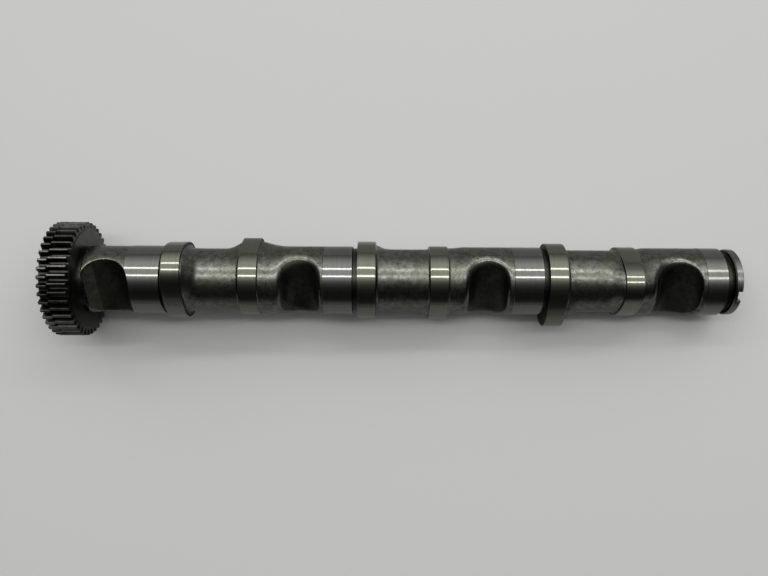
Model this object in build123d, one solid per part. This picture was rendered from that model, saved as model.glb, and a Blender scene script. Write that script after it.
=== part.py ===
from build123d import *
from math import acos, atan2, cos, degrees, hypot, pi, radians, sin, sqrt, tan
import os

# Camshaft of a three-cylinder bank, with its split anti-backlash drive gear.
# X runs along the shaft, from the gear end to the thrust collar, and Z is up.
# The origin is on the axis, at the middle of the second bearing journal.
# Angles about the shaft are measured from +Z towards +Y.

os.makedirs("parts", exist_ok=True)

# ---- shaft: bearings, bosses and core ----
cylinders = 3
bore_spacing = 90.0       # from one cylinder to the next
journal_radius = 16.35
journal_length = 14.0
boss_step = 0.25          # from a journal's surface down to the boss beside it
core_step = 1.6           # from a journal's surface down to the rough core
boss_run_in = 8.0         # length over which the rough core swells up to a boss
boss_reach = 2.6          # straight boss beyond the far rim of its pocket
undercut_step = 0.95      # from a journal's surface down to the relief beside it
undercut_tuck = 1.0       # how far the relief runs in under the near lobe

# ---- lobes ----
lobe_width = 8.8
cylinder_phase = 120.0    # turn from one cylinder to the next
near_lobe_gap = 2.2       # relief between a journal and its near lobe
near_base_step = 1.9      # from a journal's surface up to the base circle
near_lift = 3.95
near_nose_radius = 14.0
near_nose_angle = 21.0
far_lobe_offset = 48.0    # from a journal's middle to the far lobe's middle
far_base_step = 0.3       # from a journal's surface up to the base circle
far_lift = 4.45
far_nose_radius = 11.3
far_nose_angle = 110.3
flank_radius = 31.0
lobe_chamfer = 0.35

# ---- cast shoulders beside the lobes ----
shoulder_inset = 1.7      # step from a lobe's ground nose down to the casting
shoulder_length = 7.5
boss_shoulder_length = 12.5
shoulder_sink = 0.5       # how far a shoulder's base lies under the core
shoulder_nose_share = 0.9 # of the lobe's nose radius

# ---- head bolt pockets ----
pocket_angle = -34.0      # the way the pockets face
pocket_depth = 10.3       # from the boss's surface to the floor
pocket_widths = [23.5, 18.6, 18.6, 21.0]
pocket_lands = [0.3, 1.2, 2.2, 1.6]  # boss left between each pocket and its journal
pocket_rim_round = 1.5    # on the two pockets in the middle

# ---- thrust end ----
thrust_journal_length = 9.9
thrust_groove_width = 3.8
thrust_groove_depth = 2.4 # from the collar's surface
collar_width = 3.5
collar_step = 0.45        # from a journal's surface down to the collar
collar_chamfer = 0.5
notch_width = 5.2
notch_depth = 2.2
notch_reach = 4.5
notch_angle = -27.0

# ---- gear end ----
first_boss_end = 29.65    # from the first journal's middle to the boss's end
neck_length = 1.25
neck_radius = 14.0
seat_radius = 12.5
stub_chamfer = 0.8
boss_chamfer = 0.4
centre_hole_radius = 3.0
centre_hole_angle = 60.0

# ---- gear teeth, shared by both halves of the gear ----
gear_module = 1.25
gear_teeth = 42
pressure_angle = 20.0
tooth_thinning = 0.04     # taken off each flank
root_clearance = 0.25     # of the module
tooth_edge_break = 0.3
gear_phase = 2.6          # angle of a tooth of the fixed half
backlash_offset = 2.15    # turn of the loose half against the fixed half, let go

# ---- fixed half ----
drive_gear_width = 8.8
web_rise = 0.3            # of the web's face above the ends of the teeth
web_radius = 23.9

# ---- ramps that turn the loose half against the fixed half ----
ramp_count = 6
ramp_inner_radius = 16.0
ramp_outer_radius = 20.0
ramp_sweep = 14.0
ramp_height = 1.2
ramp_play = 3.0           # free angle on each side of a ramp
ramp_clearance = 0.4

# ---- loose half, washer, disc spring and retaining ring ----
backlash_gear_width = 4.5
running_gap = 0.1         # between faces that turn on each other
bore_clearance = 0.04     # radial, loose half on its seat
fitting_clearance = 0.05  # radial, washer and spring on the seat
washer_radius = 19.0
washer_thickness = 1.0
spring_radius = 17.5
spring_thickness = 0.9
spring_rise = 0.9
ring_thickness = 1.2
ring_width = 3.2
ring_groove_depth = 1.1
ring_opening = 34.0       # gap between the ears
ring_ear_radius = 2.6
ring_eye_radius = 1.0
stub_end_land = 2.0

# ---- radii and stations worked out from the sizes above ----
boss_radius = journal_radius - boss_step
core_radius = journal_radius - core_step
undercut_radius = journal_radius - undercut_step
near_base_radius = journal_radius + near_base_step
far_base_radius = journal_radius + far_base_step
collar_radius = journal_radius - collar_step
thrust_groove_radius = collar_radius - thrust_groove_depth
journal_middles = [bore_spacing * (i - 1) for i in range(cylinders)]
last_middle = bore_spacing * (cylinders - 1)
pocket_middles = [
    journal - journal_length / 2 - land - width / 2
    for journal, land, width in zip(journal_middles + [last_middle], pocket_lands, pocket_widths)
]
near_lobe_offset = journal_length / 2 + near_lobe_gap + lobe_width / 2
boss_left = journal_middles[0] - first_boss_end
gear_web_face = boss_left - neck_length
gear_right = gear_web_face - web_rise
gear_left = gear_right - drive_gear_width
loose_right = gear_left - running_gap
loose_left = loose_right - backlash_gear_width
washer_left = loose_left - running_gap - washer_thickness
spring_left = washer_left - spring_thickness - spring_rise
ring_left = spring_left - ring_thickness
stub_left = ring_left - stub_end_land
thrust_start = last_middle - journal_length / 2
thrust_end = thrust_start + thrust_journal_length
collar_left = thrust_end + thrust_groove_width
collar_right = collar_left + collar_width

shaft_plane = Plane(origin=(0, 0, 0), x_dir=(0, 1, 0), z_dir=(1, 0, 0))


def section_plane(x):
    """Plane across the shaft at x; its X is +Y, its Y is +Z and its normal is +X."""
    return shaft_plane.offset(x)


def direction(angle):
    """Unit vector in a cross-section, at an angle from +Z towards +Y."""
    return Vector(0, sin(radians(angle)), cos(radians(angle)))


def ring(x_left, x_right, outer, inner):
    """Plain ring about the shaft axis."""
    width = x_right - x_left
    blank = extrude(section_plane(x_left) * Circle(outer), width)
    return blank - extrude(section_plane(x_left) * Circle(inner), width)


def turned(points):
    """Solid of revolution about the shaft axis from (x, radius) corners."""
    outline = make_face(Plane.XZ * Polyline(*points, close=True))
    return revolve(outline, Axis.X)


# ---------------------------------------------------------------- cam lobes


def cam_outline(base, lift, nose, flank):
    """Cam section with its nose along the sketch's +Y: base, two flanks and nose."""
    nose_y = base + lift - nose
    run, fall = flank - base, flank - nose
    centre_y = (run ** 2 - fall ** 2 + nose_y ** 2) / (2 * nose_y)
    centre_x = sqrt(run ** 2 - centre_y ** 2)
    base_turn = atan2(centre_x, -centre_y)
    nose_turn = atan2(centre_x, nose_y - centre_y)

    def at(radius, turn, x, y, side):
        return (side * (x + radius * sin(turn)), y + radius * cos(turn))

    middle = (base_turn + nose_turn) / 2
    joint = [at(base, base_turn, 0, 0, side) for side in (1, -1)]
    tip = [at(nose, nose_turn, 0, nose_y, side) for side in (1, -1)]
    flank_middle = [at(flank, middle, -centre_x, centre_y, side) for side in (1, -1)]
    return (
        ThreePointArc(joint[1], (0, -base), joint[0])
        + ThreePointArc(joint[0], flank_middle[0], tip[0])
        + ThreePointArc(tip[0], (0, nose_y + nose), tip[1])
        + ThreePointArc(tip[1], flank_middle[1], joint[1])
    )


def cam_face(x, angle, base, lift, nose, flank):
    """Cam section across the shaft at x, with its nose at the given angle."""
    return section_plane(x) * Rot(Z=-angle) * make_face(cam_outline(base, lift, nose, flank))


def cam_lobe(middle, angle, base, lift, nose):
    """Ground lobe with broken edges."""
    face = cam_face(middle - lobe_width / 2, angle, base, lift, nose, flank_radius)
    lobe = extrude(face, lobe_width)
    ends = lobe.faces().filter_by(Axis.X).edges()
    return chamfer(ends, lobe_chamfer)


def cast_shoulder(start, end, angle, base, lift, nose, root):
    """Tapered casting that carries a lobe's nose down to the core at its far end."""
    sunk = root - shoulder_sink
    rise = base + lift - shoulder_inset - sunk
    cast_nose = nose * shoulder_nose_share
    sections = [
        cam_face(start, angle, sunk, rise, cast_nose, flank_radius),
        cam_face(end, angle, sunk, rise * 0.03, cast_nose, flank_radius),
    ]
    return loft(sections)


# ---------------------------------------------------------------- camshaft


def shaft_body():
    """Turned and cast body of the shaft, without lobes and pockets."""
    groove_radius = seat_radius - ring_groove_depth
    corners = [(stub_left, 0), (stub_left, seat_radius - stub_chamfer)]
    corners += [(stub_left + stub_chamfer, seat_radius), (ring_left, seat_radius)]
    corners += [(ring_left, groove_radius), (spring_left, groove_radius)]
    corners += [(spring_left, seat_radius), (gear_web_face, seat_radius)]
    corners += [(gear_web_face, neck_radius), (boss_left, neck_radius)]
    corners += [(boss_left, boss_radius - boss_chamfer), (boss_left + boss_chamfer, boss_radius)]
    for middle, pocket, width in zip(journal_middles, pocket_middles[1:], pocket_widths[1:]):
        left, right = middle - journal_length / 2, middle + journal_length / 2
        lobe_left = right + near_lobe_gap
        next_boss = pocket - width / 2 - boss_reach
        corners += [(left, boss_radius), (left, journal_radius), (right, journal_radius)]
        undercut_end = lobe_left + undercut_tuck
        corners += [(right, undercut_radius), (undercut_end, undercut_radius)]
        corners += [(undercut_end, core_radius), (next_boss - boss_run_in, core_radius)]
        corners += [(next_boss, boss_radius)]
    corners += [(thrust_start, boss_radius), (thrust_start, journal_radius)]
    corners += [(thrust_end, journal_radius), (thrust_end, thrust_groove_radius)]
    corners += [(collar_left, thrust_groove_radius), (collar_left, collar_radius - collar_chamfer)]
    corners += [(collar_left + collar_chamfer, collar_radius)]
    corners += [(collar_right - collar_chamfer, collar_radius)]
    corners += [(collar_right, collar_radius - collar_chamfer), (collar_right, 0)]
    return turned(corners)


def centre_hole(x, side):
    """Lathe centre in an end face; side is the way out of the shaft."""
    depth = centre_hole_radius / tan(radians(centre_hole_angle / 2))
    return turned([(x, 0), (x, centre_hole_radius), (x - side * depth, 0)])


def pocket_radius(width):
    """Radius of the cutter that leaves a pocket of this width at its full depth."""
    return max(width / 2, (width ** 2 / 4 + pocket_depth ** 2) / (2 * pocket_depth))


def pocket_cutter(middle, radius):
    """Round cutter across the shaft, sunk to the pockets' depth below the boss's surface."""
    out = direction(pocket_angle)
    along = direction(pocket_angle + 90)
    reach = 3 * journal_radius
    start = Vector(middle, 0, 0) + out * (boss_radius - pocket_depth + radius) - along * (reach / 2)
    return extrude(Plane(start, x_dir=(1, 0, 0), z_dir=along) * Circle(radius), reach)


def rim_edges(shape, middle, radius):
    """Edges of a shape that lie on the wall of one pocket cutter."""
    out = direction(pocket_angle)

    def on_wall(edge):
        points = [edge @ t for t in (0, 0.3, 0.6, 1)]
        off = [hypot(p.X - middle, p.dot(out) - boss_radius + pocket_depth - radius) for p in points]
        return all(abs(o - radius) < 0.01 for o in off)

    return shape.edges().filter_by(on_wall)


def add_pockets(shaft):
    """Four pockets, one beside each journal; the two in the middle have round rims."""
    for number, (middle, width) in enumerate(zip(pocket_middles, pocket_widths)):
        radius = pocket_radius(width)
        shaft -= pocket_cutter(middle, radius)
        if number in (1, 2):
            rim = rim_edges(shaft, middle, radius)
            shaft = fillet(rim, pocket_rim_round)
    return shaft


def end_notch():
    """Notch in the rim of the collar's end face."""
    plane = section_plane(collar_right - notch_depth) * Rot(Z=-notch_angle)
    block = Pos(0, collar_radius) * Rectangle(notch_width, 2 * notch_reach)
    return extrude(plane * block, 2 * notch_depth)


def build_camshaft():
    """The shaft with its six lobes, as one solid."""
    shaft = shaft_body()
    for number, middle in enumerate(journal_middles):
        turn = number * cylinder_phase
        near = (near_nose_angle + turn, near_base_radius, near_lift, near_nose_radius)
        far = (far_nose_angle + turn, far_base_radius, far_lift, far_nose_radius)
        near_middle = middle + near_lobe_offset
        far_middle = middle + far_lobe_offset
        half = lobe_width / 2
        shaft += cam_lobe(near_middle, *near)
        shaft += cam_lobe(far_middle, *far)
        near_face = near_middle + half
        shaft += cast_shoulder(near_face, near_face + shoulder_length, *near, core_radius)
        far_left, far_right = far_middle - half, far_middle + half
        shaft += cast_shoulder(far_left, far_left - shoulder_length, *far, core_radius)
        shaft += cast_shoulder(far_right, far_right + boss_shoulder_length, *far, boss_radius)
    shaft = add_pockets(shaft)
    shaft -= end_notch()
    shaft -= centre_hole(stub_left, -1)
    shaft -= centre_hole(collar_right, 1)
    return shaft


# ---------------------------------------------------------------- drive gear

pitch_radius = gear_module * gear_teeth / 2
gear_base_radius = pitch_radius * cos(radians(pressure_angle))
tip_radius = pitch_radius + gear_module
root_radius = pitch_radius - gear_module * (1 + root_clearance)
tooth_step = 360 / gear_teeth


def involute(angle):
    """Involute function of a pressure angle in radians."""
    return tan(angle) - angle


def half_tooth(radius):
    """Half the angle that a tooth takes up at a radius, in degrees."""
    at_pitch = pi / (2 * gear_teeth) - tooth_thinning / pitch_radius
    flank = involute(acos(min(1.0, gear_base_radius / radius)))
    return degrees(at_pitch + involute(radians(pressure_angle)) - flank)


def polar(radius, turn):
    """Sketch point at a radius, turned from the sketch's +Y towards its +X."""
    return (radius * sin(radians(turn)), radius * cos(radians(turn)))


def gear_outline(phase):
    """Closed outline of the teeth, with one tooth's middle at the phase angle."""
    middle_radius = (root_radius + tip_radius) / 2
    outline = []
    for number in range(gear_teeth):
        tooth = phase + number * tooth_step
        rise, fall = tooth - half_tooth(root_radius), tooth + half_tooth(root_radius)
        tip_in, tip_out = tooth - half_tooth(tip_radius), tooth + half_tooth(tip_radius)
        next_rise = rise + tooth_step
        flank_in = polar(middle_radius, tooth - half_tooth(middle_radius))
        flank_out = polar(middle_radius, tooth + half_tooth(middle_radius))
        outline += [
            ThreePointArc(polar(root_radius, rise), flank_in, polar(tip_radius, tip_in)),
            Line(polar(tip_radius, tip_in), polar(tip_radius, tip_out)),
            ThreePointArc(polar(tip_radius, tip_out), flank_out, polar(root_radius, fall)),
            Line(polar(root_radius, fall), polar(root_radius, next_rise)),
        ]
    return Wire(outline)


def toothed(x_left, x_right, phase):
    """Straight teeth between two stations, filled in to the axis."""
    face = section_plane(x_left) * Face(gear_outline(phase))
    return extrude(face, x_right - x_left, dir=(1, 0, 0))


def sector(x, inner, outer, start, sweep, depth):
    """Part of a ring, from a start angle through a sweep, depth long along +X."""
    def corner(radius, share):
        return polar(radius, start + share * sweep)

    outline = [
        ThreePointArc(corner(inner, 0), corner(inner, 0.5), corner(inner, 1)),
        Line(corner(inner, 1), corner(outer, 1)),
        ThreePointArc(corner(outer, 1), corner(outer, 0.5), corner(outer, 0)),
        Line(corner(outer, 0), corner(inner, 0)),
    ]
    return extrude(section_plane(x) * Face(Wire(outline)), depth, dir=(1, 0, 0))


def around_shaft(shape, count):
    """Copies of a shape, evenly spaced about the shaft axis."""
    return [Rot(X=number * 360 / count) * shape for number in range(count)]


def ramp():
    """Sloped ramp that stands out of the fixed half's outer face."""
    middle_radius = (ramp_inner_radius + ramp_outer_radius) / 2
    length = middle_radius * radians(ramp_sweep)
    slope = degrees(atan2(ramp_height, length))
    start = -ramp_sweep / 2
    block = sector(
        gear_left - ramp_height, ramp_inner_radius, ramp_outer_radius, start, ramp_sweep, ramp_height
    )
    foot = section_plane(gear_left) * Pos(-length / 2, middle_radius) * Rot(Y=slope)
    side = 3 * ramp_outer_radius
    waste = foot * Box(side, side, side, align=(Align.CENTER, Align.CENTER, Align.MAX))
    return block - waste


def ramp_recess():
    """Recess in the loose half that takes one ramp through the whole turn."""
    room = ramp_play + backlash_offset
    depth = ramp_height - running_gap + ramp_clearance
    inner, outer = ramp_inner_radius - ramp_clearance, ramp_outer_radius + ramp_clearance
    start = -ramp_sweep / 2 - room
    return sector(loose_right - depth, inner, outer, start, ramp_sweep + 2 * room, 2 * depth)


def build_drive_gear():
    """Fixed half of the gear, pressed on the seat against the shaft's neck."""
    blank = turned([
        (gear_left, seat_radius),
        (gear_left, tip_radius - tooth_edge_break),
        (gear_left + tooth_edge_break, tip_radius),
        (gear_right - tooth_edge_break, tip_radius),
        (gear_right, tip_radius - tooth_edge_break),
        (gear_right, web_radius),
        (gear_web_face, web_radius),
        (gear_web_face, seat_radius),
    ])
    teeth = toothed(gear_left, gear_web_face, gear_phase)
    return (blank & teeth) + around_shaft(ramp(), ramp_count)


def build_backlash_gear():
    """Loose half of the gear, let go by its spring."""
    bore = seat_radius + bore_clearance
    blank = turned([
        (loose_left, bore),
        (loose_left, tip_radius - tooth_edge_break),
        (loose_left + tooth_edge_break, tip_radius),
        (loose_right - tooth_edge_break, tip_radius),
        (loose_right, tip_radius - tooth_edge_break),
        (loose_right, bore),
    ])
    teeth = toothed(loose_left, loose_right, gear_phase - backlash_offset)
    return (blank & teeth) - around_shaft(ramp_recess(), ramp_count)


# ---------------------------------------------------------------- retaining stack


def build_washer():
    """Flat washer between the loose half and the disc spring."""
    return ring(washer_left, washer_left + washer_thickness, washer_radius, seat_radius + fitting_clearance)


def build_disc_spring():
    """Coned disc spring: its rim bears on the washer, its bore on the ring."""
    bore = seat_radius + fitting_clearance
    return turned([
        (spring_left, bore),
        (spring_left + spring_thickness, bore),
        (washer_left, spring_radius),
        (washer_left - spring_thickness, spring_radius),
    ])


def build_retaining_ring():
    """Open ring in the shaft's groove, with two eyes for its pliers."""
    inner = seat_radius - ring_groove_depth
    outer = inner + ring_width
    eye_turn = ring_opening / 2 + degrees(ring_ear_radius / outer)
    outline = Circle(outer) - Circle(inner)
    opening = [polar(0, 0), polar(2 * outer, -ring_opening / 2), polar(2 * outer, ring_opening / 2)]
    outline -= make_face(Polyline(*opening, close=True))
    for side in (1, -1):
        eye = Pos(*polar(outer, side * eye_turn))
        outline += eye * Circle(ring_ear_radius)
        outline -= eye * Circle(ring_eye_radius)
    return extrude(section_plane(ring_left) * outline, ring_thickness, dir=(1, 0, 0))


pieces = {
    "camshaft": build_camshaft,
    "drive_gear": build_drive_gear,
    "backlash_gear": build_backlash_gear,
    "intermediate_washer": build_washer,
    "disc_spring": build_disc_spring,
    "retaining_ring": build_retaining_ring,
}

for name, build in pieces.items():
    export_step(build(), f"parts/{name}.step")
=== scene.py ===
import logging
import math
from dataclasses import dataclass, field
from enum import Enum

import bpy
import numpy as np
from mathutils import Matrix, Vector


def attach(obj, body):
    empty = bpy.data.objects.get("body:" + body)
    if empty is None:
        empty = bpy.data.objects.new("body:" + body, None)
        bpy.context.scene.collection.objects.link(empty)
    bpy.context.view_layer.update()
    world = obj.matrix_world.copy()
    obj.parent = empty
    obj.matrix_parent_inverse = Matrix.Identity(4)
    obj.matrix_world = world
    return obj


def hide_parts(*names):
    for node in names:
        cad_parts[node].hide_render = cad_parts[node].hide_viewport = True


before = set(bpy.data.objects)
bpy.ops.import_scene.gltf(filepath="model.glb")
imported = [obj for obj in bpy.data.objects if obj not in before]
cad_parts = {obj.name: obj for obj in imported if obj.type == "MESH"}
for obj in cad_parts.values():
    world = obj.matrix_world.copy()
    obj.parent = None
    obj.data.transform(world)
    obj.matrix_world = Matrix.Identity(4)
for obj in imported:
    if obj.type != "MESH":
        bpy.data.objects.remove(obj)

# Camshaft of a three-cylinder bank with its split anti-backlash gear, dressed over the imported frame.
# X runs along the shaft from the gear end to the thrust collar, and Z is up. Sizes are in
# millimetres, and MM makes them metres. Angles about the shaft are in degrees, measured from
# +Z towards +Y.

LOG = logging.getLogger("camshaft")
MM = 0.001
SHARP_ANGLE = 32.0        # edges sharper than this, in degrees, stay crisp
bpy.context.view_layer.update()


class Body(Enum):
    """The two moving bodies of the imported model."""

    CAMSHAFT = "camshaft"
    BACKLASH_GEAR = "backlash_gear"


class Slot(Enum):
    """The record's material slots."""

    CAST_SHAFT = "cast_shaft"
    GEAR_STEEL = "gear_steel"
    SPRING_STEEL = "spring_steel"


# ------------------------------------------------------------------ surfaces


def smooth_low(a: np.ndarray, b: np.ndarray, width: float) -> np.ndarray:
    """Lower of two surfaces, rounded where they cross.

    In words: the minimum, less a quarter of width times the square of how near they are.

    Args:
        a: first radii.
        b: second radii.
        width: height over which the crossing is rounded, in mm.

    Returns:
        The blended radii.
    """
    near = np.clip(1.0 - np.abs(a - b) / width, 0.0, None)
    return np.minimum(a, b) - near**2 * width / 4.0


def smooth_high(a: np.ndarray, b: np.ndarray, width: float) -> np.ndarray:
    """Higher of two surfaces, filled in where they cross."""
    return -smooth_low(-a, -b, width)


def ease(share: np.ndarray) -> np.ndarray:
    """Smooth step from 0 to 1: three squares less two cubes of the share, held at its ends."""
    held = np.clip(share, 0.0, 1.0)
    return held * held * (3.0 - 2.0 * held)


def circle(count: int) -> np.ndarray:
    """Evenly spaced angles round the whole shaft."""
    return np.arange(count) * (360.0 / count)


def spread(*stops: float, step: float) -> np.ndarray:
    """Stations between stops, evenly spaced in each stretch and about a step apart."""
    parts = [np.linspace(a, b, max(2, round((b - a) / step) + 1))[:-1] for a, b in zip(stops, stops[1:])]
    return np.concatenate(parts + [np.array(stops[-1:])])


def lumps(x: np.ndarray, turn: np.ndarray, radius: float, cell: float, seed: int) -> np.ndarray:
    """Soft random lumps over the shaft's skin, from -1 to 1, that join up round the shaft.

    In words: random heights on a lattice of x and arc length, blended with a smooth step.

    Args:
        x: stations, in mm, as a column.
        turn: angles about the shaft, in degrees, as a row.
        radius: radius that the arc length is measured on, in mm.
        cell: lattice spacing, in mm.
        seed: seed of the lattice.

    Returns:
        Heights on the grid of x and turn.
    """
    around = max(8, round(2 * math.pi * radius / cell))
    along = int((x.max() - x.min()) / cell) + 3
    lattice = np.random.default_rng(seed).uniform(-1.0, 1.0, (along, around))
    u = (x - x.min()) / cell
    v = (turn % 360.0) / 360.0 * around
    i, j = np.floor(u).astype(int), np.floor(v).astype(int)
    s, t = ease(u - i), ease(v - j)
    low = lattice[i, j % around] * (1 - t) + lattice[i, (j + 1) % around] * t
    high = lattice[i + 1, j % around] * (1 - t) + lattice[i + 1, (j + 1) % around] * t
    return low * (1 - s) + high * s


@dataclass
class Skin:
    """A closed shell about the shaft axis, built from rings that have as many angles each.

    A ring takes the angles that turn holds when it is added. The rings run towards +X on the
    outside, so the faces look outwards. A shell with poles is closed by a point on the axis at
    each end; one without is closed on itself, like a tyre. A ring's coats number the finish,
    for each angle, of the faces that run on from it.
    """

    name: str
    turn: np.ndarray
    angles: list[np.ndarray] = field(default_factory=list)
    stations: list[np.ndarray] = field(default_factory=list)
    radii: list[np.ndarray] = field(default_factory=list)
    coats: list[np.ndarray] = field(default_factory=list)

    def ring(self, x: float | np.ndarray, radius: float | np.ndarray, coat: int | np.ndarray = 0) -> None:
        """Adds one ring at a station, with one radius and coat or one for each angle."""
        self.angles.append(self.turn)
        self.stations.append(np.broadcast_to(np.asarray(x, float), self.turn.shape))
        self.radii.append(np.broadcast_to(np.asarray(radius, float), self.turn.shape))
        self.coats.append(np.broadcast_to(np.asarray(coat, int), self.turn.shape))

    def rings(self, x: np.ndarray, radius: np.ndarray, coat: np.ndarray | None = None) -> None:
        """Adds a ring for each station, from a grid of radii and, if given, a grid of coats."""
        coats = np.zeros(len(x), int) if coat is None else coat
        for station, row, covers in zip(x, radius, coats):
            self.ring(float(station), row, covers)

    def profile(self, *corners: tuple[float | np.ndarray, float]) -> None:
        """Adds a ring for each corner, station and radius, of a turned profile."""
        for x, radius in corners:
            self.ring(x, radius)

    def add(self, body: Body, slot: Slot, finishes: list[bpy.types.Material], replaces: str,
            poles: tuple[float, float] | None = None) -> bpy.types.Object:
        """Makes the mesh object, ties it to its body and hides the CAD node that it stands for.

        In words: a point is (x, radius times sine of the angle, radius times cosine of it).

        Args:
            body: the body it rides on.
            slot: the record's material slot; not used.
            finishes: its materials, in the order that the coats number them.
            replaces: the CAD node it stands for.
            poles: stations of the two closing points on the axis, or None for a tyre.

        Returns:
            The object.
        """
        x, r = np.array(self.stations), np.array(self.radii)
        angle = np.radians(np.array(self.angles))
        points = np.stack([x, r * np.sin(angle), r * np.cos(angle)], axis=-1).reshape(-1, 3)
        rows, columns = x.shape
        near = np.arange(columns)
        far = np.roll(near, -1)
        first = np.arange(rows - 1 if poles else rows)[:, None] * columns
        second = (np.arange(first.shape[0])[:, None] + 1) % rows * columns
        quads = np.stack([first + near, second + near, second + far, first + far], axis=-1).reshape(-1, 4)
        faces = quads.tolist()
        coats = np.array(self.coats)
        covers = coats[: first.shape[0]].ravel()
        if poles:
            left, right = len(points), len(points) + 1
            points = np.vstack([points, [[poles[0], 0, 0], [poles[1], 0, 0]]])
            last = (rows - 1) * columns
            faces += np.stack([np.full(columns, left), near, far], axis=-1).tolist()
            faces += np.stack([last + near, np.full(columns, right), last + far], axis=-1).tolist()
            covers = np.concatenate([covers, coats[0], coats[-1]])
        mesh = bpy.data.meshes.new(self.name)
        mesh.from_pydata((points * MM).tolist(), [], faces)
        mesh.polygons.foreach_set("use_smooth", np.ones(len(mesh.polygons), dtype=bool))
        mesh.polygons.foreach_set("material_index", covers.astype(np.int32))
        mesh.set_sharp_from_angle(angle=math.radians(SHARP_ANGLE))
        for finish in finishes:
            mesh.materials.append(finish)
        mesh.update()
        piece = bpy.data.objects.new(self.name, mesh)
        bpy.context.scene.collection.objects.link(piece)
        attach(piece, body.value)
        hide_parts(replaces)
        LOG.info("%s: %d points, %d faces, rides on %s", self.name, len(points), len(faces), body.value)
        return piece


# ------------------------------------------------------------------ finishes


def linear(colour: str) -> tuple[float, float, float, float]:
    """Linear RGBA of an sRGB hex colour such as #8a8a80."""
    parts = [int(colour[i : i + 2], 16) / 255 for i in (1, 3, 5)]
    return (*[c / 12.92 if c <= 0.04045 else ((c + 0.055) / 1.055) ** 2.4 for c in parts], 1.0)


def node(tree: bpy.types.NodeTree, kind: str, settings: dict | None = None, inputs: dict | None = None,
         stops: list[tuple[float, tuple[float, float, float, float]]] | None = None) -> bpy.types.Node:
    """Adds one node, with its settings, its inputs and, on a colour ramp, its stops.

    Args:
        tree: the node tree.
        kind: the node's type name.
        settings: properties to set.
        inputs: for each socket's name or number, an output socket to link or a value.
        stops: rising positions from 0 to 1 with linear colours.

    Returns:
        The node.
    """
    made = tree.nodes.new(kind)
    for key, value in (settings or {}).items():
        setattr(made, key, value)
    for key, value in (inputs or {}).items():
        socket = made.inputs[key]
        if isinstance(value, bpy.types.NodeSocket):
            tree.links.new(value, socket)
        else:
            socket.default_value = value
    for number, (place, colour) in enumerate(stops or []):
        elements = made.color_ramp.elements
        element = elements[number] if number < len(elements) else elements.new(place)
        element.position, element.color = place, colour
    return made


def grey(value: float) -> tuple[float, float, float, float]:
    """Linear grey."""
    return (value, value, value, 1.0)


@dataclass(frozen=True)
class Finish:
    """What every finish holds: its name and its start from a blank material."""

    name: str

    def blank(self) -> tuple[bpy.types.Material, bpy.types.NodeTree, bpy.types.Node]:
        """Blank material, its node tree and its shader."""
        material = bpy.data.materials.new(self.name)
        material.use_nodes = True
        tree = material.node_tree
        return material, tree, tree.nodes["Principled BSDF"]

    def metal(self, tree: bpy.types.NodeTree, shader: bpy.types.Node, colour: bpy.types.NodeSocket,
              roughness: bpy.types.NodeSocket, normal: bpy.types.NodeSocket, graze: float = 1.0) -> None:
        """Makes the shader a metal with this colour, roughness, relief and glancing shine."""
        tree.links.new(colour, shader.inputs["Base Color"])
        tree.links.new(roughness, shader.inputs["Roughness"])
        tree.links.new(normal, shader.inputs["Normal"])
        shader.inputs["Metallic"].default_value = 1.0
        shader.inputs["Specular Tint"].default_value = grey(graze)


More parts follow.
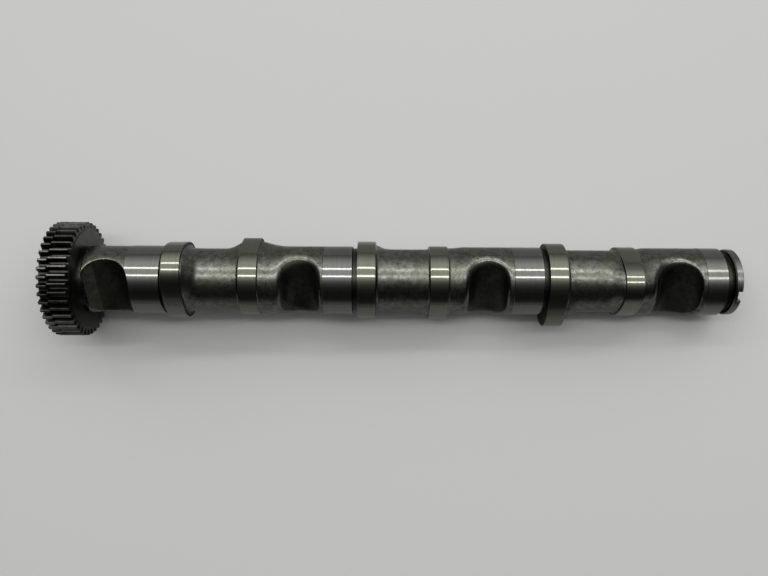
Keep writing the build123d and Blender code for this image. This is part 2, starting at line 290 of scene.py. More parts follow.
@dataclass(frozen=True)
class GroundIron(Finish):
    """Chilled cast iron, cylindrically ground: a cool grey mirror broken by fine hoops round the shaft."""

    light: str = "#61625f"
    dark: str = "#5a5b57"
    stain: str = "#55553f"
    stain_share: float = 0.25
    smooth: float = 0.09
    rough: float = 0.14
    graze: float = 0.8        # share of the glancing shine that the oil film leaves
    hoop: float = 0.35        # spacing of the grinding hoops in mm, coarser than real so that they show
    stretch: tuple[float, float, float] = (1.0, 0.02, 0.02)     # draws the hoops out round the shaft
    patch: float = 6.0        # size of the oil patches, in mm
    speck: float = 0.9        # size of the dull specks, in mm

    def build(self) -> bpy.types.Material:
        """Makes the material.

        Returns:
            The material.
        """
        material, tree, shader = self.blank()
        place = node(tree, "ShaderNodeTexCoord").outputs["Object"]
        stretched = node(tree, "ShaderNodeMapping", inputs={"Vector": place, "Scale": self.stretch})
        hoops = node(tree, "ShaderNodeTexNoise", inputs={
            "Vector": stretched.outputs["Vector"], "Scale": 1 / (self.hoop * MM), "Detail": 3.0})
        patches = node(tree, "ShaderNodeTexNoise", inputs={
            "Vector": place, "Scale": 1 / (self.patch * MM), "Detail": 4.0, "Roughness": 0.6})
        specks = node(tree, "ShaderNodeTexNoise", inputs={
            "Vector": place, "Scale": 1 / (self.speck * MM), "Detail": 2.0})
        body = node(tree, "ShaderNodeValToRGB", inputs={"Fac": hoops.outputs["Fac"]}, stops=[
            (0.35, linear(self.dark)), (0.62, linear(self.light))])
        stain = node(tree, "ShaderNodeValToRGB", inputs={"Fac": patches.outputs["Fac"]}, stops=[
            (0.52, grey(0.0)), (0.72, grey(self.stain_share))])
        mixed = node(tree, "ShaderNodeMix", {"data_type": "RGBA"}, {
            "Factor": stain.outputs["Color"], 6: body.outputs["Color"], 7: linear(self.stain)})
        gloss = node(tree, "ShaderNodeMapRange", inputs={
            "Value": hoops.outputs["Fac"], "From Min": 0.35, "From Max": 0.7,
            "To Min": self.smooth, "To Max": self.rough})
        dulled = node(tree, "ShaderNodeMapRange", inputs={
            "Value": specks.outputs["Fac"], "From Min": 0.6, "From Max": 0.8, "To Min": 0.0, "To Max": 0.1})
        roughness = node(tree, "ShaderNodeMath", {"operation": "ADD"}, {
            0: gloss.outputs["Result"], 1: dulled.outputs["Result"]})
        relief = node(tree, "ShaderNodeBump", inputs={
            "Strength": 0.5, "Distance": 0.004 * MM, "Height": hoops.outputs["Fac"]})
        self.metal(tree, shader, mixed.outputs[2], roughness.outputs["Value"],
                   relief.outputs["Normal"], self.graze)
        return material


@dataclass(frozen=True)
class CastSkin(Finish):
    """Grey cast iron as it left the mould and was blasted: mottled, pitted, oily in patches."""

    light: str = "#62635d"
    dark: str = "#3e3f39"
    stain: str = "#484839"
    rust: str = "#4a3a2c"
    pitted: str = "#2f2f29"
    stain_share: float = 0.5
    rust_from: float = 0.69
    smooth: float = 0.23
    rough: float = 0.31
    graze: float = 0.7        # share of the glancing shine that the rough skin leaves
    grain: float = 0.5        # size of the blasted grain, in mm
    mottle: float = 2.4       # size of the mottling, in mm
    cloud: float = 11.0       # size of the oily patches, in mm
    pit: float = 1.5          # spacing of the pits, in mm
    depth: float = 0.016      # height of the grain, in mm

    def build(self) -> bpy.types.Material:
        """Makes the material.

        Returns:
            The material.
        """
        material, tree, shader = self.blank()
        place = node(tree, "ShaderNodeTexCoord").outputs["Object"]
        grain = node(tree, "ShaderNodeTexNoise", inputs={
            "Vector": place, "Scale": 1 / (self.grain * MM), "Detail": 4.0, "Roughness": 0.65})
        mottle = node(tree, "ShaderNodeTexNoise", inputs={
            "Vector": place, "Scale": 1 / (self.mottle * MM), "Detail": 5.0, "Roughness": 0.72})
        cloud = node(tree, "ShaderNodeTexNoise", inputs={
            "Vector": place, "Scale": 1 / (self.cloud * MM), "Detail": 3.0, "Distortion": 0.6})
        pits = node(tree, "ShaderNodeTexVoronoi", inputs={"Vector": place, "Scale": 1 / (self.pit * MM)})
        body = node(tree, "ShaderNodeValToRGB", inputs={"Fac": mottle.outputs["Fac"]}, stops=[
            (0.34, linear(self.dark)), (0.62, linear(self.light))])
        olive = node(tree, "ShaderNodeValToRGB", inputs={"Fac": cloud.outputs["Fac"]}, stops=[
            (0.48, grey(0.0)), (0.68, grey(self.stain_share))])
        stained = node(tree, "ShaderNodeMix", {"data_type": "RGBA"}, {
            "Factor": olive.outputs["Color"], 6: body.outputs["Color"], 7: linear(self.stain)})
        bloom = node(tree, "ShaderNodeValToRGB", inputs={"Fac": mottle.outputs["Fac"]}, stops=[
            (self.rust_from, grey(0.0)), (self.rust_from + 0.06, grey(0.8))])
        rusted = node(tree, "ShaderNodeMix", {"data_type": "RGBA"}, {
            "Factor": bloom.outputs["Color"], 6: stained.outputs[2], 7: linear(self.rust)})
        pit = node(tree, "ShaderNodeValToRGB", inputs={"Fac": pits.outputs["Distance"]}, stops=[
            (0.10, grey(1.0)), (0.24, grey(0.0))])
        shaded = node(tree, "ShaderNodeMix", {"data_type": "RGBA"}, {
            "Factor": pit.outputs["Color"], 6: rusted.outputs[2], 7: linear(self.pitted)})
        gloss = node(tree, "ShaderNodeMapRange", inputs={
            "Value": cloud.outputs["Fac"], "From Min": 0.35, "From Max": 0.7,
            "To Min": self.smooth, "To Max": self.rough})
        height = node(tree, "ShaderNodeMath", {"operation": "SUBTRACT"}, {
            0: grain.outputs["Fac"], 1: pit.outputs["Color"]})
        relief = node(tree, "ShaderNodeBump", inputs={
            "Strength": 0.8, "Distance": self.depth * MM, "Height": height.outputs["Value"]})
        self.metal(tree, shader, shaded.outputs[2], gloss.outputs["Result"],
                   relief.outputs["Normal"], self.graze)
        return material


@dataclass(frozen=True)
class ToolSteel(Finish):
    """Case-hardened steel, cut and left oily: dark grey, with fine tool marks."""

    light: str = "#393937"
    dark: str = "#282826"
    smooth: float = 0.26
    rough: float = 0.4
    mark: float = 0.3         # spacing of the tool marks, in mm
    film: float = 5.0         # size of the patches of oil, in mm
    stretch: tuple[float, float, float] = (0.05, 1.0, 1.0)      # draws the marks out along the teeth

    def build(self) -> bpy.types.Material:
        """Makes the material.

        Returns:
            The material.
        """
        material, tree, shader = self.blank()
        place = node(tree, "ShaderNodeTexCoord").outputs["Object"]
        stretched = node(tree, "ShaderNodeMapping", inputs={"Vector": place, "Scale": self.stretch})
        marks = node(tree, "ShaderNodeTexNoise", inputs={
            "Vector": stretched.outputs["Vector"], "Scale": 1 / (self.mark * MM), "Detail": 3.0})
        film = node(tree, "ShaderNodeTexNoise", inputs={
            "Vector": place, "Scale": 1 / (self.film * MM), "Detail": 3.0})
        body = node(tree, "ShaderNodeValToRGB", inputs={"Fac": film.outputs["Fac"]}, stops=[
            (0.35, linear(self.dark)), (0.65, linear(self.light))])
        gloss = node(tree, "ShaderNodeMapRange", inputs={
            "Value": marks.outputs["Fac"], "From Min": 0.35, "From Max": 0.65,
            "To Min": self.smooth, "To Max": self.rough})
        relief = node(tree, "ShaderNodeBump", inputs={
            "Strength": 0.6, "Distance": 0.006 * MM, "Height": marks.outputs["Fac"]})
        self.metal(tree, shader, body.outputs["Color"], gloss.outputs["Result"], relief.outputs["Normal"])
        return material


@dataclass(frozen=True)
class PaleFloor(Finish):
    """Plain matt pale grey, with no pattern."""

    colour: str = "#afafae"

    def build(self) -> bpy.types.Material:
        """Makes the material.

        Returns:
            The material.
        """
        material, _, shader = self.blank()
        shader.inputs["Base Color"].default_value = linear(self.colour)
        shader.inputs["Roughness"].default_value = 0.9
        shader.inputs["Specular IOR Level"].default_value = 0.2
        return material


# ------------------------------------------------------------------ camshaft


@dataclass
class Cam:
    """One cam section: a base circle, two round flanks and a round nose."""

    angle: float
    base: float
    lift: float
    nose: float
    flank: float = 38.0

    def radius(self, turn: np.ndarray) -> np.ndarray:
        """Distance from the axis to the cam's surface at each angle.

        In words: on the base circle it is the base radius; on the nose and the flanks it is
        where a ray from the axis leaves the nose circle or the flank circle.

        Args:
            turn: angles about the shaft, in degrees.

        Returns:
            Radii in mm.
        """
        off = np.radians(np.abs((turn - self.angle + 180.0) % 360.0 - 180.0))
        nose_y = self.base + self.lift - self.nose
        run, fall = self.flank - self.base, self.flank - self.nose
        centre_y = (run**2 - fall**2 + nose_y**2) / (2 * nose_y)
        centre_x = math.sqrt(run**2 - centre_y**2)
        base_turn = math.atan2(centre_x, -centre_y)
        nose_turn = math.atan2(centre_x, nose_y - centre_y)
        tip = math.atan2(self.nose * math.sin(nose_turn), nose_y + self.nose * math.cos(nose_turn))
        sine, cosine = np.sin(off), np.cos(off)
        over_nose = nose_y * cosine + np.sqrt(np.clip(self.nose**2 - (nose_y * sine) ** 2, 0, None))
        reach = centre_y * cosine - centre_x * sine
        over_flank = reach + np.sqrt(reach**2 - centre_x**2 - centre_y**2 + self.flank**2)
        return np.where(off <= tip, over_nose, np.where(off < base_turn, over_flank, self.base))


@dataclass
class Pocket:
    """Round cut across a boss that clears a cylinder head bolt."""

    middle: float
    width: float
    rims: tuple[float, float]
    bare: float = 99.0        # from the middle to the left edge of the machined floor
    depth: float = 10.3
    facing: float = -34.0

    def cutter(self) -> float:
        """Radius of the cutter that leaves this width at the full depth."""
        return max(self.width / 2, (self.width**2 / 4 + self.depth**2) / (2 * self.depth))

    def stations(self, start: float, stop: float, step: float) -> np.ndarray:
        """Stations from start to stop that are close together where the walls are steep.

        In words: the middle plus the cutter's radius times the sine of an even turn, then
        the rim's quarter round in the same way, then even steps.

        Args:
            start: the boss's left end, in mm.
            stop: its right end.
            step: distance between stations outside the pocket.

        Returns:
            Rising stations.
        """
        cutter = self.cutter()
        turn = np.radians(np.linspace(0, 90, 52))
        left, right = [np.concatenate([cutter * np.sin(turn), cutter + rim * (1 - np.cos(turn[4::4]))])
                       for rim in self.rims]
        near = np.concatenate([self.middle - left, self.middle + right])
        left, right = near.min(), near.max()
        parts = [near]
        if left > start:
            parts.append(spread(start, left, step=step))
        if right < stop:
            parts.append(spread(right, stop, step=step))
        x = np.unique(np.concatenate(parts).round(4))
        return x[(x >= start) & (x <= stop)]

    def sink(self, x: np.ndarray, turn: np.ndarray, shell: np.ndarray, boss: float) -> np.ndarray:
        """Radii of a shell with this pocket cut into it, its rim rounded.

        In words: a ray from the axis stops where the depth under the shell and the depth
        behind the cutter's wall, each taken as far as the rim's radius, lie on a quarter circle.
        The rim's radius goes smoothly from the left one to the right one across the pocket. The
        wall stands straight above the cutter's middle. The ray is halved till it stops.

        Args:
            x: stations, as a column.
            turn: angles, as a row.
            shell: radii of the uncut shell, on the grid.
            boss: radius of the boss that the depth is measured from.

        Returns:
            Radii in mm.
        """
        cutter = self.cutter()
        rise = np.cos(np.radians(turn - self.facing))
        rim = self.rims[0] + (self.rims[1] - self.rims[0]) * ease((x - self.middle) / (2 * cutter) + 0.5)
        low, high = np.zeros_like(shell), shell.copy()
        for _ in range(30):
            ray = (low + high) / 2
            over = np.minimum(ray * rise, boss - self.depth + cutter) - (boss - self.depth + cutter)
            under = np.clip(ray - shell + rim, 0, None)
            behind = np.clip(cutter - np.hypot(x - self.middle, over) + rim, 0, None)
            outside = np.hypot(under, behind) > rim
            high = np.where(outside, ray, high)
            low = np.where(outside, low, ray)
        return (low + high) / 2


@dataclass
class Camshaft:
    """The shaft: ground journals and lobes, cast cores and bosses, thrust end and gear seat."""

    journal_radius: float = 16.35
    journal_length: float = 14.0
    boss_radius: float = 16.1
    core_radius: float = 14.75
    relief_radius: float = 15.4
    relief: float = 2.2
    lobe_width: float = 8.8
    lobe_edge: float = 0.35
    far_lobe: float = 48.0
    firing_step: float = 120.0    # the lobes' turn from one cylinder to the next
    inset: float = 1.7            # of a casting from the nose that it carries
    sink: float = 0.5             # of its back under the shaft
    tuck: float = 0.4             # of a cast shell's end into the lobe beside it
    near_root: float = 2.4        # cast fillets beside the near and the far lobes
    far_root: float = 1.7
    near_fade: float = 7.5        # length of a casting on a core, and towards a boss
    boss_fade: float = 12.5
    boss_lead: float = 10.6       # the core swells to a boss from this far before its pocket
    boss_swell: float = 8.0       # and over this length
    first_boss_end: float = 29.65
    first_ground: float = 2.4     # the first journal's grinding runs on this far over its boss
    thrust_length: float = 9.9
    groove_width: float = 3.8
    collar_width: float = 3.5
    eye_radius: float = 3.0       # lathe centres in both ends
    eye_depth: float = 5.2
    middles: tuple[float, ...] = (-90.0, 0.0, 90.0, 180.0)
    pockets: tuple[Pocket, ...] = (
        Pocket(-109.05, 23.5, (0.6, 0.5), bare=6.2),
        Pocket(-17.5, 16.7, (4.4, 2.2), depth=9.6, facing=-30.0),
        Pocket(71.5, 16.9, (4.2, 2.2)),
        Pocket(161.3, 19.7, (4.4, 1.0)))
    ground: dict[str, bpy.types.Material] = field(default_factory=dict)

    @property
    def thrust_start(self) -> float:
        """Station where the last journal ends and the thrust groove begins."""
        return self.middles[3] - self.journal_length / 2 + self.thrust_length

    def near_cam(self, number: int) -> Cam:
        """Cam section of the lobe beside a journal."""
        return Cam(angle=21.0 + self.firing_step * number, base=18.25, lift=3.95, nose=14.0)

    def far_cam(self, number: int) -> Cam:
        """Cam section of the lobe further along."""
        return Cam(angle=110.3 + self.firing_step * number, base=16.65, lift=4.45, nose=11.3)

    def place(self, skin: Skin, finishes: list[str], poles: tuple[float, float]) -> None:
        """Adds a shell of the shaft with its finishes."""
        materials = [self.ground[finish] for finish in finishes]
        skin.add(Body.CAMSHAFT, Slot.CAST_SHAFT, materials, "camshaft", poles)

    def journal(self, number: int) -> None:
        """Ground bearing journal, with the turned relief on its right on all but the last.

        The first one has no left edge, because its grinding runs on over the boss.
        """
        middle, half = self.middles[number], self.journal_length / 2
        right = middle + half if number < 3 else self.thrust_start
        skin = Skin(f"journal_{number + 1}", circle(288))
        edge = 0.18
        left_edge = edge if number else 0.0
        # Coat 1, the relief finish, paints shade on the journal's end faces and in the relief groove.
        skin.ring(middle - half, self.boss_radius - 1.0, 1)
        skin.ring(middle - half, self.journal_radius - left_edge)
        x = spread(middle - half + edge, right - edge, step=0.8)
        skin.rings(x, np.full((len(x), skin.turn.size), self.journal_radius))
        skin.ring(right, self.journal_radius - edge, 1)
        if number < 3:
            end = right + self.relief + 0.8
            skin.ring(right + 0.02, self.relief_radius + 0.15, 1)
            skin.ring(right + 0.2, self.relief_radius, 1)
            skin.ring(end, self.relief_radius, 1)
        else:
            end = right
            skin.ring(right, 13.0, 1)
        self.place(skin, [f"journal_{number + 1}", "relief"], (middle - half, end))

    def lobe(self, name: str, cam: Cam, middle: float, finish: str) -> None:
        """Lobe with a ground running face, broken edges and rough cast sides.

        Args:
            name: the piece's name.
            cam: its section.
            middle: station of its middle.
            finish: which finish its running face takes.
        """
        skin = Skin(name, circle(360))
        outline = cam.radius(skin.turn)
        left, right = middle - self.lobe_width / 2, middle + self.lobe_width / 2
        edge, hidden = self.lobe_edge, 4.0
        soft, lip = edge * 0.3, edge + 0.5
        skin.ring(left, outline - hidden, 1)
        skin.ring(left, outline - lip, 1)
        skin.ring(left, outline - edge)
        skin.ring(left + soft, outline - soft)
        stations = spread(left + edge, right - edge, step=0.7)
        skin.rings(stations, np.broadcast_to(outline, (len(stations), outline.size)))
        skin.ring(right - soft, outline - soft)
        skin.ring(right, outline - edge, 1)
        skin.ring(right, outline - lip, 1)
        skin.ring(right, outline - hidden, 1)
        self.place(skin, [finish, "side"], (left, right))

    def core(self, number: int) -> None:
        """Rough core between a journal's two lobes, with the castings that carry their noses."""
        start = self.middles[number] + self.journal_length / 2 + self.relief + self.lobe_width
        stop = self.middles[number] + self.far_lobe - self.lobe_width / 2
        skin = Skin(f"core_{number + 1}", circle(400))
        x = spread(start - self.tuck, stop + self.tuck, step=0.3)[:, None]
        turn = skin.turn[None, :]
        roots = np.maximum(self.root(x - start, self.near_root), self.root(stop - x, self.far_root))
        core = self.core_radius + roots + 0 * turn
        near, far = self.near_cam(number), self.far_cam(number)
        core = self.shoulder(core, near, turn, self.core_radius, (x - start) / self.near_fade)
        core = self.shoulder(core, far, turn, self.core_radius, (stop - x) / self.near_fade)
        skin.rings(x[:, 0], core + self.unevenness(x, turn, radius=15.0, seed=11 + number))
        self.place(skin, [f"core_{number + 1}"], (float(x[0, 0]), float(x[-1, 0])))

    def unevenness(self, x: np.ndarray, turn: np.ndarray, radius: float, seed: int) -> np.ndarray:
        """Unevenness of the cast skin: broad lumps of 0.008 mm and small ones of 0.006 mm."""
        broad = 0.008 * lumps(x, turn, radius, cell=3.4, seed=seed)
        return broad + 0.006 * lumps(x, turn, radius, cell=0.9, seed=seed + 10)

    def root(self, gap: np.ndarray, radius: float) -> np.ndarray:
        """Height of the cast fillet beside a lobe.

        In words: the fillet's radius less the height of its circle, at a distance from the
        lobe's side; nothing beyond the fillet's radius.

        Args:
            gap: distances from the lobe's side, in mm.
            radius: the fillet's radius.

        Returns:
            Heights over the core, in mm.
        """
        off = radius - np.clip(gap, 0.0, radius)
        return radius - np.sqrt(radius**2 - off**2)

    def shoulder(self, shell: np.ndarray, cam: Cam, turn: np.ndarray, root: float,
                 share: np.ndarray) -> np.ndarray:
        """Casting that carries a lobe's nose down to the shaft.

        In words: a cam section set in from the nose and sunk under the shaft away from it;
        its height over the sunk base falls evenly along the way, till little of it is left.

        Args:
            shell: radii of the shaft so far.
            cam: section of the ground lobe.
            turn: angles, as a row.
            root: radius of the shaft under the casting.
            share: way from the lobe's face, 0, to the casting's end, 1, as a column.

        Returns:
            The higher of the two surfaces, filled in where they meet.
        """
        sharper, lost, fillet = 0.9, 0.97, 1.5
        base = root - self.sink
        rise = cam.base + cam.lift - self.inset - base
        section = Cam(cam.angle, base, rise, cam.nose * sharper).radius(turn)
        fall = 1.0 - lost * np.clip(share, 0.0, 1.0)
        return smooth_high(shell, base + (section - base) * fall, fillet)

    def boss(self, number: int) -> None:
        """Boss before a journal, with its bolt pocket and the casting from the lobe before it.

        Its angles are closer together on the pocket's side. Its coats: 0 the cast skin, 1 the
        machined pocket, darkened with painted shade, 2 ground with the journal, 3 the pocket's dry
        cast wall.
        """
        stop = self.middles[number] - self.journal_length / 2
        pocket = self.pockets[number]
        start = self.middles[0] - self.first_boss_end
        if number:
            start = self.middles[number - 1] + self.far_lobe + self.lobe_width / 2
        turn = np.concatenate([np.arange(-112, 44, 0.6), np.arange(44, 248, 1.5)])
        skin = Skin(f"boss_{number + 1}", turn)
        x = pocket.stations(start - self.tuck if number else start, stop, step=0.25)[:, None]
        row = turn[None, :]
        swell = ease((x - pocket.middle + pocket.width / 2 + self.boss_lead) / self.boss_swell)
        shell = self.core_radius + (self.boss_radius - self.core_radius) * swell + 0 * row
        if number:
            shell = np.maximum(shell, self.core_radius + self.root(x - start, self.far_root))
            share = (x - start) / self.boss_fade
            shell = self.shoulder(shell, self.far_cam(number - 1), row, self.boss_radius, share)
        else:
            shell = smooth_low(shell, self.boss_radius + (x - start) - 0.4 + 0 * row, 0.3)
            shell = np.where(x > stop - self.first_ground, self.journal_radius, shell)
        cut = pocket.sink(x, row, shell, self.boss_radius)
        deep, flush = 1.2, 0.05
        inside = shell - cut > deep
        # Inside the pocket, coat 1 is painted shade; coat 3, left of the bare edge, is the dry wall.
        coat = inside * np.where(x > pocket.middle - pocket.bare, 1, 3)
        if number == 0:
            coat = np.where((x > stop - self.first_ground) & (shell - cut < flush), 2, coat)
        rough = self.unevenness(x, row, radius=16.0, seed=31 + number)
        skin.rings(x[:, 0], cut + np.where(coat == 2, 0.0, rough), coat)
        self.place(skin, [f"boss_{number + 1}", "pocket", "journal_1", "dry"], (float(x[0, 0]), stop))

    def thrust_collar(self) -> None:
        """Groove and collar at the end, with a notch in the rim and a lathe centre.

        In words: the rim's angles leave out the notch; the notched rings jump from its floor
        to the rim; the end face inside them has its angles spread so that no face folds over.
        """
        start = self.thrust_start
        rim = start + self.groove_width
        end = rim + self.collar_width
        groove, collar, edge, face_ring = 13.5, 15.9, 0.5, 10.8
        notch_half, notch_floor, notch_start, facing = 2.6, 11.4, rim + 1.3, -27.0
        corner = math.degrees(math.asin(notch_half / collar))
        inner = math.degrees(math.atan2(notch_half, notch_floor))
        share = np.linspace(-1.0, 1.0, 9)
        outer = np.linspace(corner, 360.0 - corner, 240)
        whole = np.concatenate([share * (corner - 0.2), outer]) + facing
        notched = np.concatenate([share * inner, outer]) + facing
        face = np.concatenate([share * inner, np.linspace(inner + 7.0, 353.0 - inner, 240)]) + facing
        cut = np.concatenate([notch_floor / np.cos(np.radians(share * inner)), np.full(outer.size, collar)])
        skin = Skin("thrust_collar", whole)
        # Coat 1, the relief finish, paints shade in the thrust groove and on its walls.
        skin.ring(start, groove - 3.0, 1)
        skin.ring(start, groove, 1)
        skin.ring(rim - 0.3, groove, 1)
        skin.ring(rim, groove + 0.3, 1)
        skin.ring(rim, collar - edge)
        skin.ring(rim + edge, collar)
        skin.ring(notch_start, collar)
        skin.turn = notched
        skin.ring(notch_start + 0.03, cut)
        skin.ring(end - edge, cut)
        skin.ring(end, np.where(cut < collar, cut, collar - edge))
        skin.turn = face
        skin.ring(end, face_ring)
        skin.ring(end, self.eye_radius)
        self.place(skin, ["thrust_end", "relief"], (start, end - self.eye_depth))

    def gear_seat(self) -> None:
        """Seat for the gear, groove for the ring, neck and a lathe centre."""
        skin = Skin("gear_seat", circle(240))
        end, groove_left, groove_right, shoulder, inner_end = -140.7, -138.7, -137.5, -120.9, -119.2
        seat, groove, neck, chamfer = 12.5, 11.4, 14.0, 0.8
        skin.profile((end, self.eye_radius), (end, seat - chamfer), (end + chamfer, seat),
                     (groove_left, seat), (groove_left + 0.01, groove),
                     (groove_right - 0.01, groove), (groove_right, seat),
                     (shoulder - 0.02, seat), (shoulder, neck), (inner_end, neck))
        self.place(skin, ["thrust_end"], (end + self.eye_depth, inner_end))

    def build(self) -> None:
        """Builds every piece of the shaft."""
        self.gear_seat()
        for number in range(4):
            self.boss(number)
            self.journal(number)
        for number in range(3):
            near = self.middles[number] + self.journal_length / 2 + self.relief + self.lobe_width / 2
            far = self.middles[number] + self.far_lobe
            self.lobe(f"near_lobe_{number + 1}", self.near_cam(number), near, f"lobe_{2 * number + 1}")
            self.lobe(f"far_lobe_{number + 1}", self.far_cam(number), far, f"lobe_{2 * number + 2}")
            self.core(number)
        self.thrust_collar()


# ------------------------------------------------------------------ split gear


@dataclass
class SplitGear:
    """Drive gear in two halves: one pressed on the shaft, one let go to take up backlash."""

    module: float = 1.25
    teeth: int = 42
    pressure: float = 20.0
    thinning: float = 0.04
    phase: float = 2.6
    offset: float = 2.15
    left: float = -130.0      # faces of the fixed half's teeth
    right: float = -121.2
    web: float = -120.9       # face of its web, on the shaft side
    web_radius: float = 23.9
    seat: float = 12.5
    bore: float = 12.55       # of the washer and the spring
    gap: float = 0.1          # beside the loose half
    loose_width: float = 4.5
    edge: float = 0.3         # broken edges of the teeth
    ramps: int = 6
    ramp_radii: tuple[float, float] = (16.0, 20.0)
    ramp_sweep: float = 14.0
    ramp_height: float = 1.2
    foot_turns: tuple[float, ...] = (0.75, 0.32, 0.06)      # corner at a tooth's foot, in degrees
    foot_rises: tuple[float, ...] = (0.0, 0.0, 0.05, 0.18)  # and in mm over the root circle
    crown_turns: tuple[float, ...] = (0.02, -0.16, -0.42)   # rounding of its tip, in degrees
    crown_drops: tuple[float, ...] = (0.07, 0.01, 0.0)      # and in mm under the tip circle
    finish: dict[str, bpy.types.Material] = field(default_factory=dict)

    @property
    def pitch(self) -> float:
        """Pitch radius."""
        return self.module * self.teeth / 2

    @property
    def tip(self) -> float:
        """Tip radius."""
        return self.pitch + self.module

    @property
    def root(self) -> float:
        """Root radius."""
        return self.pitch - 1.25 * self.module

    @property
    def loose_left(self) -> float:
        """Station of the loose half's outer face."""
        return self.left - self.gap - self.loose_width

    def half_tooth(self, radius: np.ndarray) -> np.ndarray:
        """Half the angle that a tooth takes up at a radius.

        In words: its half thickness at the pitch circle, plus the involute function of the
        pressure angle, less the involute function of the angle at this radius.

        Args:
            radius: radii in mm.

        Returns:
            Angles in degrees.
        """
        base = self.pitch * math.cos(math.radians(self.pressure))
        angle = np.arccos(np.clip(base / radius, -1, 1))
        slope = math.radians(self.pressure)
        at_pitch = math.pi / (2 * self.teeth) - self.thinning / self.pitch
        return np.degrees(at_pitch + math.tan(slope) - slope - (np.tan(angle) - angle))

    def outline(self, phase: float) -> tuple[np.ndarray, np.ndarray]:
        """Angles and radii round the teeth, with rounded tips and root corners.

        Args:
            phase: angle of one tooth's middle.

        Returns:
            Angles in degrees and radii in mm, going round once.
        """
        step = 360.0 / self.teeth
        height = np.linspace(self.root + 0.35, self.tip - 0.16, 6)
        flank = self.half_tooth(height)
        foot = float(self.half_tooth(np.array([self.root + 0.05]))[0])
        crown = float(self.half_tooth(np.array([self.tip]))[0])
        off = np.concatenate([[step / 2], foot + np.array(self.foot_turns), flank,
                              crown + np.array(self.crown_turns)])
        rise = np.concatenate([self.root + np.array(self.foot_rises), height,
                               self.tip - np.array(self.crown_drops)])
        tooth_off = np.concatenate([-off, [0.0], off[:0:-1]])
        tooth_rise = np.concatenate([rise, [self.tip], rise[:0:-1]])
        centres = phase + step * np.arange(self.teeth)[:, None]
        return (centres + tooth_off).ravel(), np.tile(tooth_rise, self.teeth)

    def ramp_share(self, turn: np.ndarray, room: float) -> tuple[np.ndarray, np.ndarray]:
        """Where the ramps or their recesses lie round the face.

        Args:
            turn: angles in degrees.
            room: free angle on each side.

        Returns:
            A mask of the angles inside, and the share of the way along the ramp.
        """
        half = 180.0 / self.ramps
        off = (turn + half) % (2 * half) - half
        inside = np.abs(off) <= self.ramp_sweep / 2 + room
        return inside, np.clip(off / self.ramp_sweep + 0.5, 0, 1)

    def tips(self, teeth: np.ndarray) -> np.ndarray:
        """Coats round the teeth: 1 on the turned tips, 0 on the hobbed flanks."""
        high = teeth > self.tip - 0.03
        return (high & np.roll(high, -1)).astype(int)

    def band(self, skin: Skin, left: float, right: float, teeth: np.ndarray, step: float) -> None:
        """Adds the toothed band between two faces, its edges broken."""
        broken = np.minimum(teeth, self.tip - self.edge)
        skin.ring(left, broken)
        for x in spread(left + self.edge, right - self.edge, step=step):
            skin.ring(float(x), teeth, self.tips(teeth))
        skin.ring(right, broken)

    def fixed_half(self) -> None:
        """Fixed half, with its web standing out on the shaft side and ramps on its other face."""
        turn, teeth = self.outline(self.phase)
        skin = Skin("drive_gear_half", turn)
        inside, share = self.ramp_share(turn, 0.0)
        ramp_face = self.left - np.where(inside, share * self.ramp_height, 0.0)
        low, high = self.ramp_radii
        skin.profile((self.left, self.seat), (self.left, low - 0.02), (ramp_face, low), (ramp_face, high),
                     (self.left, high + 0.02), (self.left, self.root - 0.6))
        self.band(skin, self.left, self.right, teeth, step=1.4)
        skin.profile((self.right, self.root - 0.4), (self.right, self.web_radius),
                     (self.web - 0.1, self.web_radius), (self.web, self.web_radius - 0.1),
                     (self.web, 16.5), (self.web, self.seat))
        skin.add(Body.CAMSHAFT, Slot.GEAR_STEEL, [self.finish["fixed"], self.finish["tip"]], "drive_gear")

    def loose_half(self) -> None:
        """Loose half, with recesses for the ramps in its inner face."""
        turn, teeth = self.outline(self.phase - self.offset)
        left, right = self.loose_left, self.left - self.gap
        skin = Skin("backlash_gear_half", turn)
        room, free_turn = 0.4, 3.0
        inside, _ = self.ramp_share(turn, free_turn + self.offset)
        recess = right - np.where(inside, self.ramp_height - self.gap + room, 0.0)
        low, high = self.ramp_radii[0] - room, self.ramp_radii[1] + room
        bore = self.seat + 0.04
        skin.profile((left, bore), (left, self.root - 0.6))
        self.band(skin, left, right, teeth, step=1.3)
        skin.profile((right, self.root - 0.6), (right, high + 0.02), (recess, high), (recess, low),
                     (right, low - 0.02), (right, bore))
        finishes = [self.finish["loose"], self.finish["tip"]]
        skin.add(Body.BACKLASH_GEAR, Slot.GEAR_STEEL, finishes, "backlash_gear")

    def washer(self) -> None:
        """Flat washer with rounded edges."""
        skin = Skin("gear_washer", circle(240))
        rim, width, edge = 19.0, 1.0, 0.2
        right = self.loose_left - self.gap
        left = right - width
        skin.profile((left, self.bore), (left, rim - edge), (left + edge, rim),
                     (right - edge, rim), (right, rim - edge), (right, self.bore))
        skin.add(Body.CAMSHAFT, Slot.SPRING_STEEL, [self.finish["spring"]], "intermediate_washer")

    def disc_spring(self) -> None:
        """Coned disc spring: its rim bears on the washer and its bore on the ring.

        The cone rises by 0.88 mm from bore to rim, and the rim's corners are broken by 0.1 mm.
        """
        skin = Skin("gear_disc_spring", circle(240))
        outer, inner, rim = -137.5, -136.6, 17.5
        skin.profile((outer, self.bore), (outer + 0.87, rim - 0.12), (outer + 1.0, rim),
                     (inner + 0.78, rim), (inner + 0.88, rim - 0.1), (inner, self.bore))
        skin.add(Body.CAMSHAFT, Slot.SPRING_STEEL, [self.finish["spring"]], "disc_spring")

    def build(self) -> None:
        """Builds both halves and the parts that hold them."""
        self.fixed_half()
        self.loose_half()
        self.washer()
        self.disc_spring()
        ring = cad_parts["retaining_ring"]
        ring.data.materials.clear()
        ring.data.materials.append(self.finish["spring"])
        LOG.info("retaining_ring: the packed solid, dressed")


# ------------------------------------------------------------------ studio


